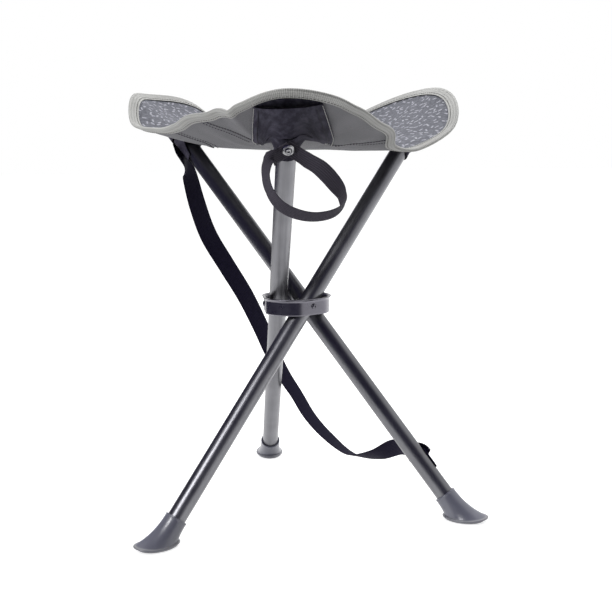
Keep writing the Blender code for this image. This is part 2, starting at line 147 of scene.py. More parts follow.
def lay_flat(mesh, plan):
    """Maps the mesh as its stuff lies flat; plan has a flat place for each point."""
    flat = np.asarray(plan, float).reshape(-1, 2)
    corners = np.empty(len(mesh.loops), int)
    mesh.loops.foreach_get("vertex_index", corners)
    uv = mesh.uv_layers.new(name="flat")
    uv.data.foreach_set("uv", flat[corners].astype(np.float32).ravel())


def add_object(name, data):
    made = bpy.data.objects.new(name, data)
    bpy.context.scene.collection.objects.link(made)
    return made


def surface(name, grid, look, around=False, along=False, caps=False, plan=None):
    """Quads over a grid of points, closed round its rows or columns."""
    grid = np.asarray(grid, float)
    n, m = grid.shape[:2]
    faces = []
    for i in range(n if along else n - 1):
        for j in range(m if around else m - 1):
            k, up = (j + 1) % m, (i + 1) % n
            faces.append((i * m + j, i * m + k, up * m + k, up * m + j))
    if caps:
        faces.append(tuple(range(m))[::-1])
        faces.append(tuple(range((n - 1) * m, n * m)))
    mesh = bpy.data.meshes.new(name)
    mesh.from_pydata(grid.reshape(-1, 3).tolist(), [], faces)
    mesh.polygons.foreach_set("use_smooth", [True] * len(mesh.polygons))
    if plan is not None:
        lay_flat(mesh, plan)
    mesh.materials.append(look)
    return add_object(name, mesh)


band_tall = 0.0185
band_wall = 0.0025
band_flat = 0.0348
band_press = 0.0032
band_drop = 0.0006
band_rounding = 0.0012
band_round = band_flat + band_press
band_middle = hub_middle - Vector((0, 0, band_drop))

enamel, tree, shader = finish_of("ink_enamel", metallic=0.95, coat_weight=0.2, coat_roughness=0.12)
spot = at_object(tree)
haze = grain(tree, spot, 160.0)
scuffs = grain(tree, spot, 900.0, 4.0).ramp(0.63, 0.74)
wear = haze * 0.6 + scuffs * 0.4
feed(tree, shader, base_color=wear.between((0.135, 0.131, 0.156), (0.19, 0.186, 0.208)))
feed(tree, shader, roughness=haze * 0.1 + 0.24 + scuffs * 0.12)
feed(tree, shader, normal=bump(tree, haze + scuffs * 0.5, 0.00006))

bearings = np.array(sorted(b % (2 * math.pi) for b in flat_bearings.values()))
turns = np.linspace(0, 2 * math.pi, 288, endpoint=False)
off = np.abs((turns[:, None] - bearings + math.pi) % (2 * math.pi) - math.pi).min(1)
half = band_tall / 2
band_section = np.array(
    [
        (-0.0011, -half),
        (-0.0006, -half + 0.0001),
        (-0.0002, -half + 0.0004),
        (0, -half + 0.0012),
        (0, -half + 0.0018),
        (0, half - 0.0042),
        (0, half - 0.0036),
        (0.0002, half - 0.0029),
        (0.0007, half - 0.0020),
        (0.0013, half - 0.0014),
        (0.0018, half - 0.0010),
        (0.0021, half - 0.0006),
        (0.0019, half - 0.0002),
        (0.0015, half),
        (0, half),
        (-0.0007, half - 0.0003),
        (-0.0014, half - 0.0010),
        (-0.0021, half - 0.0018),
        (-band_wall, half - 0.0026),
        (-band_wall, -half + 0.0008),
        (-band_wall + 0.0004, -half + 0.0001),
    ]
)
rows = []
for grow, level in band_section:
    flat_reach = (band_flat + grow) / np.cos(off)
    round_reach = np.full_like(off, band_round + grow)
    gap = flat_reach - round_reach
    blend = np.sqrt(gap**2 + band_rounding**2)
    reach = round_reach + gap / 2 - blend / 2 + band_rounding / 4
    height = np.full_like(turns, level)
    rows.append(np.stack([reach * np.cos(turns), reach * np.sin(turns), height], 1))
band_grid = np.array(rows) + np.array(band_middle)
hub_band = surface("hub_band", band_grid, enamel, around=True, along=True)
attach(hub_band, "hub")
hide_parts("hub_ring")

# Rivets, washers and screws: small turned steel pieces, the washers and screws plated in dull zinc.
# The rivets are headed over on washers inside, and their dimpled outer heads are enamelled
# with the band.

zinc, tree, shader = finish_of("dull_zinc", metallic=1.0)
spot = at_object(tree)
bloom = grain(tree, spot, 700.0, 3.0)
feed(tree, shader, base_color=bloom.ramp(0.3, 0.7).between((0.3, 0.3, 0.31), (0.5, 0.5, 0.51)))
feed(tree, shader, roughness=bloom * 0.25 + 0.24)
feed(tree, shader, normal=bump(tree, bloom, 0.00004))
for letter in "abc":
    frame["nodes"][f"hub_rivet_{letter}"].data.materials[0] = enamel
    for kind in ("rivet_washer", "cup_washer", "seat_screw"):
        frame["nodes"][f"{kind}_{letter}"].data.materials[0] = zinc
for name in ("strap_screw", "strap_washer"):
    frame["nodes"][name].data.materials[0] = zinc

# Legs: three round steel tubes, drawn and coated in a satin gunmetal grey.
# Each turns on its rivet; a plastic saddle keeps it off the band and a plug closes its top.

leg_tilt = math.radians(39.15)
lean_sin, lean_cos = math.sin(leg_tilt), math.cos(leg_tilt)
leg_upper, leg_lower = 0.248, 0.283
leg_offset = 0.020
tube_radius = 0.010
plug_rim = 0.0022
tube_top = leg_upper - plug_rim
tube_low = -leg_lower
leg_lines = {}
for letter, pivot in pivots.items():
    turned = Matrix.Rotation(flat_bearings[letter], 4, "Z") @ Matrix.Rotation(-leg_tilt, 4, "X")
    leg_lines[letter] = Matrix.Translation(pivot) @ turned


def on_line(line, points):
    """Points given along a leg's own line, in the stool's frame."""
    move = np.array(line)
    return np.asarray(points, float) @ move[:3, :3].T + move[:3, 3]


def at_flat(tree):
    return node(tree, "ShaderNodeUVMap", uv_map="flat")


gunmetal, tree, shader = finish_of("satin_gunmetal", metallic=0.96, coat_weight=0.08, coat_roughness=0.2)
spot = at_flat(tree)
drawn = node(tree, "ShaderNodeMapping", {"Vector": spot, "Scale": (1400.0, 12.0, 1.0)})
streaks = grain(tree, drawn, 1.0, 3.0)
cloud = grain(tree, at_object(tree), 35.0, 2.0)
specks = grain(tree, at_object(tree), 1500.0, 2.0).ramp(0.68, 0.78)
tone = streaks * 0.45 + cloud * 0.55
coating = tone.ramp(0.3, 0.7) * 0.8 + specks * 0.2
feed(tree, shader, base_color=coating.between((0.15, 0.15, 0.162), (0.21, 0.21, 0.224)))
feed(tree, shader, roughness=streaks * 0.12 + cloud * 0.08 + 0.26)
feed(tree, shader, normal=bump(tree, streaks + specks * 0.6, 0.00003))

black_plastic, tree, shader = finish_of("black_plastic")
pores = grain(tree, at_object(tree), 1200.0, 2.0)
feed(tree, shader, base_color=pores.between((0.012, 0.012, 0.015), (0.03, 0.03, 0.034)))
feed(tree, shader, roughness=pores * 0.2 + 0.4)
feed(tree, shader, normal=bump(tree, pores, 0.00005))

# Rounded end of a tube: change of radius, distance from the end
tube_end = ((-0.0012, 0.0010), (-0.0010, 0.0002), (-0.0003, 0.0002), (0.0, 0.0008))
straight = np.linspace(tube_low + tube_end[-1][1], tube_top - tube_end[-1][1], 61)
tube_section = [(tube_radius + grow, tube_low + rise) for grow, rise in tube_end]
tube_section += [(tube_radius, s) for s in straight[1:-1]]
tube_section += [(tube_radius + grow, tube_top - rise) for grow, rise in tube_end[::-1]]
sides = np.linspace(0, 2 * math.pi, 73)
circle = np.stack([np.cos(sides), np.sin(sides)], 1)
for letter, line in leg_lines.items():
    rows = [np.column_stack([r * circle, np.full_like(sides, s)]) for r, s in tube_section]
    plan = [np.stack([sides * tube_radius, np.full_like(sides, s)], 1) for _, s in tube_section]
    tube = surface("tube_" + letter, on_line(line, rows), gunmetal, plan=plan)
    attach(tube, "leg_" + letter)
    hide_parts("leg_tube_" + letter)
    for kind in ("top_plug", "leg_spacer"):
        frame["nodes"][f"{kind}_{letter}"].data.materials[0] = black_plastic

# Feet: moulded rubber boots pushed over the tube ends, swept forward to an oval sole.
# A thin lip runs round the collar and a raised bead round the edge of the sole.

sole_long, sole_wide = 0.049, 0.034
sole_shift = 0.0025
toe_lift, toe_rise = 0.0022, 0.0015
boot_grip = 0.014
boot_wall = 0.0017
fit_gap = 0.0003
collar_at = boot_grip - leg_lower
floor_drop = hub_middle.z
grip = tube_radius + fit_gap + boot_wall


def coordinate(tree, spot, axis):
    """One coordinate of a spot; axis 0 is x and axis 1 is y."""
    return node(tree, "ShaderNodeSeparateXYZ", {0: spot}, out=axis)


rubber, tree, shader = finish_of("foot_rubber", specular_ior_level=0.85)
spot = at_object(tree)
mottle = grain(tree, spot, 45.0, 3.0)
fine = grain(tree, spot, 900.0, 2.0)
down_side = coordinate(tree, at_flat(tree), 1)
# The bead round the sole is painted lighter: a painted highlight along its ridge, broken up by the mottle.
bead = down_side.ramp(0.71, 0.75) * (1 - down_side.ramp(0.80, 0.84))
bead_painted_highlight = bead * (mottle * 0.5 + 0.5) * 0.8
tone = (mottle * 0.8).between((0.082, 0.084, 0.112), (0.14, 0.143, 0.182))
feed(tree, shader, base_color=bead_painted_highlight.between(tone, (0.24, 0.24, 0.25)))
feed(tree, shader, roughness=mottle * 0.12 + 0.24)
feed(tree, shader, normal=bump(tree, fine + mottle * 0.5, 0.00008))

ring = np.linspace(0, 2 * math.pi, 96, endpoint=False)
down_leg = np.array([0, -lean_sin, -lean_cos])
heelward = np.array([0, lean_cos, -lean_sin])
collar = np.array([0, collar_at * lean_sin, collar_at * lean_cos])
sole_middle = np.array([0, -floor_drop * math.tan(leg_tilt) - sole_shift, -floor_drop])


def hoop(radius, drop):
    """A ring square to the leg, the given drop below the collar's rim."""
    spokes = np.cos(ring)[:, None] * np.array([1, 0, 0]) + np.sin(ring)[:, None] * heelward
    return collar + drop * down_leg + radius * spokes


def oval(grow, rise, shift=0.0):
    """An outline of the sole, the given rise above the floor and turned up at the toe."""
    x = (sole_wide / 2 + grow) * np.cos(ring)
    y = (sole_long / 2 + grow * 1.5) * np.sin(ring) + shift
    turned_up = toe_lift * np.maximum(0, -np.sin(ring)) ** 2 * min(1, rise / toe_rise)
    return sole_middle + np.stack([x, y, rise + turned_up], 1)


first, last = hoop(grip, 0.0022), oval(-0.0008, 0.0042)
bend = first + down_leg * (0.55 * np.linalg.norm(last - first, axis=1)[:, None])
rows = [
    hoop(tube_radius + 0.00005, 0.004),
    hoop(tube_radius + 0.00005, 0.0004),
    hoop(tube_radius + 0.0004, 0.0),
    hoop(grip - 0.0002, 0.0),
    hoop(grip + 0.0002, 0.0004),
    hoop(grip + 0.0003, 0.0012),
    hoop(grip + 0.0001, 0.0018),
]
for t in np.linspace(0, 1, 25):
    rows.append(first * (1 - t) ** 2 + bend * (2 * t * (1 - t)) + last * t**2)
rows += [
    oval(-0.0004, 0.0043),
    oval(0.0001, 0.0042),
    oval(0.0005, 0.0038),
    oval(0.0007, 0.0033),
    oval(0.0006, 0.0027),
    oval(0.0002, 0.0022),
    oval(-0.0004, 0.0018, 0.0003),
    oval(-0.0010, 0.0014, 0.0008),
    oval(-0.0018, 0.0004, 0.0015),
    oval(-0.0028, 0.0, 0.0020),
    oval(-0.0060, 0.0, 0.0020),
]
shares = np.linspace(0, 1, len(rows))
plan = [np.stack([ring, np.full_like(ring, share)], 1) for share in shares[::-1]]
boot_shape = np.array(rows)[::-1]
for letter, pivot in pivots.items():
    upright = Matrix.Translation(pivot) @ Matrix.Rotation(flat_bearings[letter], 4, "Z")
    grid = on_line(upright, boot_shape)
    boot = surface("boot_" + letter, grid, rubber, around=True, caps=True, plan=plan)
    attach(boot, "leg_" + letter)
    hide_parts("foot_boot_" + letter)

# Seat: one cut of heavy woven polyester, slung as a three-lobed bowl between the leg tops.
# Its upper face is printed with loose short dashes and its underside is plain grey.
# It is made in folds here, each a piece of its own that goes with the seat.

tip_radius = math.hypot(leg_offset, leg_upper * lean_sin)
tip_height = leg_upper * lean_cos
first_corner = math.atan2(-leg_upper * lean_sin, -leg_offset)
third = 2 * math.pi / 3
folds = 18
fold_turn = 2 * math.pi / folds
cloth_thick = 0.0012
seat_sag = 0.0213
bowl_power = 2.4
tip_lift = (0.0088, 0.0012, 0.0020)
lift_inset, lift_spread = 0.006, 0.021
dash_pitch = 0.0085
# Edge every 15 degrees from the first corner: share of the leg tips' radius, rise over them
seat_edge = np.array(
    [
        (1.300, 0.0282), (1.247, 0.0206), (1.053, 0.0035), (0.915, -0.0052),
        (0.785, -0.0194), (0.878, -0.0227), (1.102, -0.0004), (1.208, 0.0304),
        (1.252, 0.0485), (1.193, 0.0445), (0.983, 0.0222), (0.846, 0.0027),
        (0.808, -0.0087), (0.888, -0.0095), (1.046, 0.0019), (1.190, 0.0388),
        (1.288, 0.0456), (1.223, 0.0403), (1.122, 0.0088), (0.937, 0.0011),
        (0.877, 0.0044), (0.913, 0.0111), (0.940, 0.0132), (1.101, 0.0178),
    ]
)
# Kinks of the edge beside the front corner: bearing and breadth in degrees, depth
edge_kinks = (
    (-28.0, 4.0, 0.0018),
    (-20.0, 2.6, -0.0030),
    (18.5, 3.5, -0.0016),
    (28.0, 4.5, 0.0010),
)
# Wrinkles beside each corner: bearing, slant and breadth in degrees, depth
wrinkles = (
    (-44.0, 10.0, 5.0, -0.0014),
    (-30.0, -14.0, 4.0, 0.0011),
    (38.0, 16.0, 5.0, -0.0012),
    (24.0, -10.0, 4.0, 0.0009),
)


def edge_of(angle):
    """Radius and height of the seat's edge at the given angles."""
    turned = np.asarray(angle, float) - first_corner
    spot = turned % (2 * math.pi) / (2 * math.pi) * len(seat_edge)
    start = np.floor(spot).astype(int)
    w = (spot - start)[..., None]
    a, b, c, d = (seat_edge[(start + k) % len(seat_edge)] for k in (-1, 0, 1, 2))
    found = b + (c - a) * (w / 2)
    found = found + (2 * a - 5 * b + 4 * c - d) * (w**2 / 2) + (3 * b - a - 3 * c + d) * (w**3 / 2)
    off_front = (np.degrees(turned) + 180) % 360 - 180
    kinks = sum(deep * np.exp(-(((off_front - at) / broad) ** 2)) for at, broad, deep in edge_kinks)
    return found[..., 0] * tip_radius, tip_height + found[..., 1] + kinks


def seat_at(angle, share):
    """Points of the cloth's middle layer; share runs from the seat's middle to its edge."""
    angle, share = np.broadcast_arrays(np.asarray(angle, float), np.asarray(share, float))
    far, high = edge_of(angle)
    middle = tip_height - seat_sag
    x = far * share * np.cos(angle)
    y = far * share * np.sin(angle)
    z = middle + (high - middle) * np.abs(share) ** bowl_power
    for i, lift in enumerate(tip_lift):
        tip = first_corner + i * third
        reach = tip_radius - lift_inset
        away = np.hypot(reach * math.cos(tip) - x, reach * math.sin(tip) - y)
        z = z + lift * np.exp(-(away**2) / (2 * lift_spread**2))
        turned = (np.degrees(angle - tip) + 180) % 360 - 180
        inside = np.clip((share - 0.3) / 0.2, 0, 1) * np.clip((0.94 - share) / 0.14, 0, 1)
        for at, slant, broad, deep in wrinkles:
            z = z + deep * inside * np.exp(-(((turned - at - slant * (share - 0.65)) / broad) ** 2))
    return np.stack([x, y, z], -1) + np.array(hub_middle)


def unit(steps):
    """Directions of the given steps."""
    return steps / np.linalg.norm(steps, axis=-1, keepdims=True)


def seat_up(angle, share):
    """The cloth's upward normals."""
    angle, share, step = np.asarray(angle), np.asarray(share), 0.02
    along = seat_at(angle + step, share) - seat_at(angle - step, share)
    out = seat_at(angle, share + step) - seat_at(angle, share - step)
    return unit(np.cross(out, along))


def slab(name, grid, normals, thick, looks, plan):
    """Cloth of even thickness over a grid, shaded by the given normals; looks are upper and lower."""
    n, m = grid.shape[:2]
    i, j = n // 2, m // 2
    if np.cross(grid[i, j + 1] - grid[i, j], grid[i + 1, j] - grid[i, j]) @ normals[i, j] < 0:
        grid, normals, plan = grid[:, ::-1], normals[:, ::-1], plan[:, ::-1]
    lift = normals * thick / 2
    points = np.concatenate([(grid + lift).reshape(-1, 3), (grid - lift).reshape(-1, 3)])
    under = n * m
    faces, sides = [], []
    for i in range(n - 1):
        for j in range(m - 1):
            a, b, c, d = i * m + j, i * m + j + 1, (i + 1) * m + j + 1, (i + 1) * m + j
            faces.append((a, b, c, d))
            sides.append(0)
            faces.append((under + d, under + c, under + b, under + a))
            sides.append(1)
    border = list(range(m)) + [i * m + m - 1 for i in range(1, n)]
    border += [(n - 1) * m + j for j in range(m - 2, -1, -1)] + [i * m for i in range(n - 2, 0, -1)]
    for a, b in zip(border, border[1:] + border[:1]):
        faces.append((b, a, under + a, under + b))
        sides.append(1)
    mesh = bpy.data.meshes.new(name)
    mesh.from_pydata(points.tolist(), [], faces)
    mesh.polygons.foreach_set("material_index", sides)
    mesh.polygons.foreach_set("use_smooth", [True] * len(faces))
    lay_flat(mesh, [plan, plan])
    for look in looks:
        mesh.materials.append(look)
    facing = normals.reshape(-1, 3)
    mesh.normals_split_custom_set_from_vertices(np.concatenate([facing, -facing]))
    return add_object(name, mesh)


def gather(piece, letter):
    """The piece goes with its leg, on a mesh of its own."""
    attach(piece, "leg_" + letter)
    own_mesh(piece)


def close_in(piece):
    """The piece is on one fold of the seat: it goes with the seat, on a mesh of its own."""
    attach(piece, "seat")
    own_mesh(piece)


def weave(tree, spot, pitch):
    """Height of a plain weave, from 0 to 1, with the given thread pitch."""
    warp, weft = (coordinate(tree, spot, axis).sine(pitch) for axis in (0, 1))
    return warp * weft * 0.5 + 0.5


print_cloth, tree, shader = finish_of("printed_seat_cloth", sheen_weight=0.12, sheen_roughness=0.5)
spot = at_flat(tree)
scatter = {"Vector": spot, "Scale": 1 / dash_pitch, "Randomness": 0.82}
cells = node(tree, "ShaderNodeTexVoronoi", scatter, out="Position", voronoi_dimensions="2D")
away = node(tree, "ShaderNodeVectorMath", {0: spot, 1: cells}, operation="SUBTRACT")
x, y = (coordinate(tree, away, axis) for axis in (0, 1))
lot = node(tree, "ShaderNodeSeparateColor", {0: cells.also("Color")})
lean = lot * (2 * math.pi)
c, s = lean.math("COSINE", lean), lean.math("SINE", lean)
lengthwise = x * c + y * s
widthwise = y * c - x * s
lengthwise = lengthwise.math("ABSOLUTE", lengthwise)
widthwise = widthwise.math("ABSOLUTE", widthwise)
dash = (1 - lengthwise.ramp(0.0021, 0.0029)) * (1 - widthwise.ramp(0.0006, 0.0013))
threads = weave(tree, spot, 0.0011)
melange = grain(tree, spot, 260.0, 3.0).ramp(0.3, 0.7)
worn = grain(tree, spot, 22.0, 2.0).ramp(0.3, 0.75)
ground = (melange * 0.65 + threads * 0.2 + worn * 0.15).between((0.078, 0.082, 0.1), (0.185, 0.19, 0.22))
dashes = melange.between((0.36, 0.36, 0.42), (0.5, 0.5, 0.55))
feed(tree, shader, base_color=(dash * 0.85).between(ground, dashes))
feed(tree, shader, roughness=threads * 0.1 + 0.78)
feed(tree, shader, normal=bump(tree, threads + melange * 0.6 + dash * 0.5, 0.00022))

plain_cloth, tree, shader = finish_of("plain_under_cloth", sheen_weight=0.1, sheen_roughness=0.5)
spot = at_flat(tree)
threads = weave(tree, spot, 0.0009)
melange = grain(tree, spot, 420.0, 2.0)
cloud = grain(tree, spot, 16.0, 2.0).ramp(0.3, 0.7)
tone = melange * 0.4 + threads * 0.25 + cloud * 0.35
feed(tree, shader, base_color=tone.between((0.108, 0.107, 0.118), (0.19, 0.189, 0.204)))
feed(tree, shader, roughness=threads * 0.12 + 0.74)
feed(tree, shader, normal=bump(tree, threads + melange * 0.5, 0.00016))

shares = np.concatenate([np.linspace(0.004, 0.6, 30, endpoint=False), np.linspace(0.6, 1.0, 41)])
for k in range(folds):
    bearing = first_corner + k * fold_turn
    angles = bearing + np.linspace(-fold_turn / 2, fold_turn / 2, 21)
    grid = seat_at(angles[None, :], shares[:, None])
    normals = seat_up(angles[None, :], np.maximum(shares, 0.05)[:, None])
    runs = np.linalg.norm(np.diff(grid, axis=0, prepend=grid[:1]), axis=-1).cumsum(0) + 0.0005
    plan = np.stack([runs * np.cos(angles), runs * np.sin(angles)], -1)
    seat = slab(f"seat_cloth_{k:02}", grid, normals, cloth_thick, (print_cloth, plain_cloth), plan)
    close_in(seat)
    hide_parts("seat_panel")

# Edge binding: ribbed grosgrain tape, folded over the raw edge of the seat.
# It is sewn through near its lips, with a row of grey stitches on each face.

tape_lip = 0.0096
tape_thick = 0.0008
tape_gap = 0.0004
rib_pitch, cord_pitch = 0.0020, 0.0036
edge_share = 0.985
tape_off = cloth_thick / 2 + tape_gap + tape_thick / 2

tape, tree, shader = finish_of("grosgrain_tape", sheen_weight=0.15, sheen_roughness=0.4)
spot = at_flat(tree)
ribs = coordinate(tree, spot, 0).sine(rib_pitch) * 0.5 + 0.5
fibre = grain(tree, spot, 900.0, 2.0)
soil = grain(tree, spot, 18.0, 3.0).ramp(0.35, 0.75)
cords = coordinate(tree, spot, 1).sine(cord_pitch).ramp(-1.0, -0.4)
tone = ribs * 0.35 + fibre * 0.3 + soil * 0.15 + cords * 0.2
feed(tree, shader, base_color=tone.between((0.17, 0.17, 0.163), (0.6, 0.6, 0.585)))
feed(tree, shader, roughness=fibre * 0.15 + 0.68)
feed(tree, shader, normal=bump(tree, ribs + fibre * 0.5 + cords * 0.8, 0.0003))

steps = 80
rim_angles = first_corner + fold_turn * (np.arange(folds * steps + 1) / steps - 0.5)
rim = seat_at(rim_angles, 1.0)
rim_runs = np.linalg.norm(np.diff(rim, axis=0, prepend=rim[:1]), axis=-1).cumsum()
for k in range(folds):
    part = slice(k * steps, (k + 1) * steps + 1)
    angles, edge, runs = rim_angles[part], rim[part], rim_runs[part]
    up = seat_up(angles, edge_share)
    along = seat_at(angles + 0.01, 1.0) - seat_at(angles - 0.01, 1.0)
    out = unit(np.cross(along, up))
    lip = 1 - tape_lip / edge_of(angles)[0]
    layers = []
    for w in np.linspace(0, 1, 9):
        share = lip + (1 - lip) * w
        layers.append((seat_at(angles, share), seat_up(angles, np.minimum(share, edge_share))))
    nose = [(edge, up * math.cos(w) + out * math.sin(w)) for w in np.linspace(0, math.pi, 11)[1:-1]]
    layers += nose + [(point, -normal) for point, normal in layers[::-1]]
    middle_rows, normals = (np.array(rows) for rows in zip(*layers))
    grid = middle_rows + normals * tape_off
    wide = np.linalg.norm(np.diff(grid, axis=0, prepend=grid[:1]), axis=-1).cumsum(0)
    plan = np.stack([np.broadcast_to(runs, wide.shape), wide], -1)
    binding = slab(f"binding_{k:02}", grid, normals, tape_thick, (tape, tape), plan)
    close_in(binding)
    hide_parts("edge_binding")

sewing = bpy.data.node_groups.new("stitch_run", "GeometryNodeTree")
sewing.interface.new_socket("Path", in_out="INPUT", socket_type="NodeSocketGeometry")
for label in ("Pitch", "Stitch length", "Thread width"):
    sewing.interface.new_socket(label, in_out="INPUT", socket_type="NodeSocketFloat")
sewing.interface.new_socket("Thread", in_out="INPUT", socket_type="NodeSocketMaterial")
sewing.interface.new_socket("Stitches", in_out="OUTPUT", socket_type="NodeSocketGeometry")
given = {s.name: Wire(sewing, s) for s in sewing.nodes.new("NodeGroupInput").outputs}
curve = node(sewing, "GeometryNodeMeshToCurve", {"Mesh": given["Path"]})
even = node(sewing, "GeometryNodeResampleCurve", {"Curve": curve, "Length": given["Pitch"]}, mode="LENGTH")
bead = node(sewing, "GeometryNodeMeshUVSphere", {"Segments": 8, "Rings": 5, "Radius": 0.5})
long_and_wide = {0: given["Stitch length"], 1: given["Thread width"], 2: given["Thread width"]}
bead = node(
    sewing,
    "GeometryNodeTransform",
    {"Geometry": bead, "Scale": node(sewing, "ShaderNodeCombineXYZ", long_and_wide)},
)
turn = node(
    sewing,
    "FunctionNodeAlignRotationToVector",
    {"Vector": node(sewing, "GeometryNodeInputTangent")},
    axis="X",
)
facing = node(sewing, "GeometryNodeInputNamedAttribute", {"Name": "facing"}, data_type="FLOAT_VECTOR")
turn = node(
    sewing,
    "FunctionNodeAlignRotationToVector",
    {"Rotation": turn, "Vector": facing},
    axis="Z",
    pivot_axis="X",
)
laid = node(sewing, "GeometryNodeInstanceOnPoints", {"Points": even, "Instance": bead, "Rotation": turn})
laid = node(sewing, "GeometryNodeRealizeInstances", {"Geometry": laid})
laid = node(sewing, "GeometryNodeSetShadeSmooth", {"Geometry": laid})
laid = node(sewing, "GeometryNodeSetMaterial", {"Geometry": laid, "Material": given["Thread"]})
sewing.links.new(laid.socket, sewing.nodes.new("NodeGroupOutput").inputs[0])


def sew(name, runs, thread, pitch, long, wide):
    """Stitches along runs of (points, facings), as one plain mesh."""
    points = np.concatenate([p for p, _ in runs])
    edges, start = [], 0
    for run, _ in runs:
        edges += [(start + k, start + k + 1) for k in range(len(run) - 1)]
        start += len(run)
    path = bpy.data.meshes.new(name + "_path")
    path.from_pydata(points.tolist(), edges, [])
    way = path.attributes.new("facing", "FLOAT_VECTOR", "POINT")
    way.data.foreach_set("vector", np.concatenate([f for _, f in runs]).astype(np.float32).ravel())
    guide = add_object(name + "_path", path)
    stitches = guide.modifiers.new("stitches", "NODES")
    stitches.node_group = sewing
    sizes = {"Pitch": pitch, "Stitch length": long, "Thread width": wide, "Thread": thread}
    for item in sewing.interface.items_tree:
        if item.name in sizes:
            stitches[item.identifier] = sizes[item.name]
    ready = guide.evaluated_get(bpy.context.evaluated_depsgraph_get())
    made = add_object(name, bpy.data.meshes.new_from_object(ready))
    bpy.data.objects.remove(guide)
    return made


def thread_of(name, colour):
    look, tree, shader = finish_of(name, roughness=0.7)
    ply = grain(tree, at_object(tree), 2500.0)
    feed(tree, shader, base_color=ply.between([c * 0.7 for c in colour], colour))
    return look


grey_thread = thread_of("grey_thread", (0.13, 0.13, 0.125))
dark_thread = thread_of("dark_thread", (0.02, 0.018, 0.03))
pale_thread = thread_of("pale_thread", (0.62, 0.62, 0.6))
stitch_pitch = 0.0034
stitch_inset = 0.0024
for k in range(folds):
    bearing = first_corner + k * fold_turn
    spare = stitch_pitch / edge_of(bearing)[0]
    angles = bearing + np.linspace(-0.5, 0.5, 41) * (fold_turn - spare)
    share = 1 - (tape_lip - stitch_inset) / edge_of(angles)[0]
    up = seat_up(angles, np.minimum(share, edge_share))
    lift = tape_off + tape_thick / 2 + 0.00005
    runs = [(seat_at(angles, share) + up * lift * side, up * side) for side in (1, -1)]
    stitches = sew(f"binding_stitches_{k:02}", runs, grey_thread, stitch_pitch, 0.0027, 0.0008)
    close_in(stitches)

# Under seams: two dark rows of stitching run from each pocket to the low parts of the edge,
# where the lobes are joined to the middle of the seat.

seam_turns = {-1: [29.0, 30.5, 33.0, 36.0, 39.5], 1: [31.5, 41.0, 48.0, 50.5, 51.5]}
seam_shares = {-1: [0.55, 0.68, 0.78, 0.86, 0.945], 1: [0.50, 0.59, 0.69, 0.82, 0.945]}
seam_rows = (("seam", 0.0, 0.0030, 0.0012), ("topstitch", 0.0062, 0.0022, 0.0008))
even = np.linspace(0, 1, 60)
knots = np.linspace(0, 1, 5)
for i, letter in enumerate("abc"):
    tip = first_corner + i * third
    for side, hand in ((1, "right"), (-1, "left")):
        for name, apart, long, wide in seam_rows:
            share = np.interp(even, knots, seam_shares[side])
            angles = tip + side * np.radians(np.interp(even, knots, seam_turns[side]))
            angles = angles + side * apart / (edge_of(angles)[0] * share)
            down = -seat_up(angles, share)
            run = (seat_at(angles, share) + down * (cloth_thick / 2 + 0.0002), down)
            seam = sew(f"under_{name}_{letter}_{hand}", [run], dark_thread, 0.0031, long, wide)
            close_in(seam)

# Corner pockets: cloth sewn under each lobe, open towards the edge, holding a leg's top.
# A tongue of the same cloth closes round the tube below it and lies under the screw.
# Pocket and dark sheet are made in three parts here: the pocket's middle goes with the leg and the rest
# with the seat.

screw_below_tip = 0.0177
pocket_thick = 0.0010
pocket_mouth, pocket_end = 0.945, 0.50
mouth_wide, end_wide = 0.068, 0.112
mouth_hang = 0.009
pocket_gap = 0.0007
pocket_above_screw = 0.0104
pocket_flat = 0.045
pocket_turn = 0.6 * fold_turn
painted_shade_thick = 0.0005
painted_shade_drop = 0.0012
hem_thick = 0.0004
tab_thick = 0.0012
tab_long, tab_half = 0.025, 0.015
tab_wrap = math.radians(86)
tab_above_screw = 0.0084
tab_sewn, tab_spread = 0.95, 0.45
tab_gap = 0.0004
screw_at = leg_upper - screw_below_tip
tab_level = tube_radius + fit_gap + tab_thick
pocket_hang = cloth_thick / 2 + pocket_thick / 2 + pocket_gap

# The pocket cloth is painted near-black: painted shade, the seat's fabric as it looks in shadow under the
# lobes. Its mottle is random tone.
pocket_shade_cloth, tree, shader = finish_of("pocket_cloth_painted_shade", specular_ior_level=0.15)
spot = at_flat(tree)
threads = weave(tree, spot, 0.0012)
mottle = grain(tree, spot, 110.0, 3.0).ramp(0.35, 0.7)
fuzz = grain(tree, spot, 700.0, 2.0)
tone = mottle * 0.55 + fuzz * 0.25 + threads * 0.2
feed(tree, shader, base_color=tone.between((0.009, 0.008, 0.016), (0.076, 0.071, 0.1)))
feed(tree, shader, roughness=fuzz * 0.15 + 0.76)
feed(tree, shader, normal=bump(tree, threads + mottle * 0.8 + fuzz * 0.4, 0.0003))

painted_shade_faces = (pocket_shade_cloth, pocket_shade_cloth)


def downward(normals):
    """Unit normals, each turned to point down."""
    normals = unit(normals)
    return np.where(normals[..., 2:] > 0, -normals, normals)


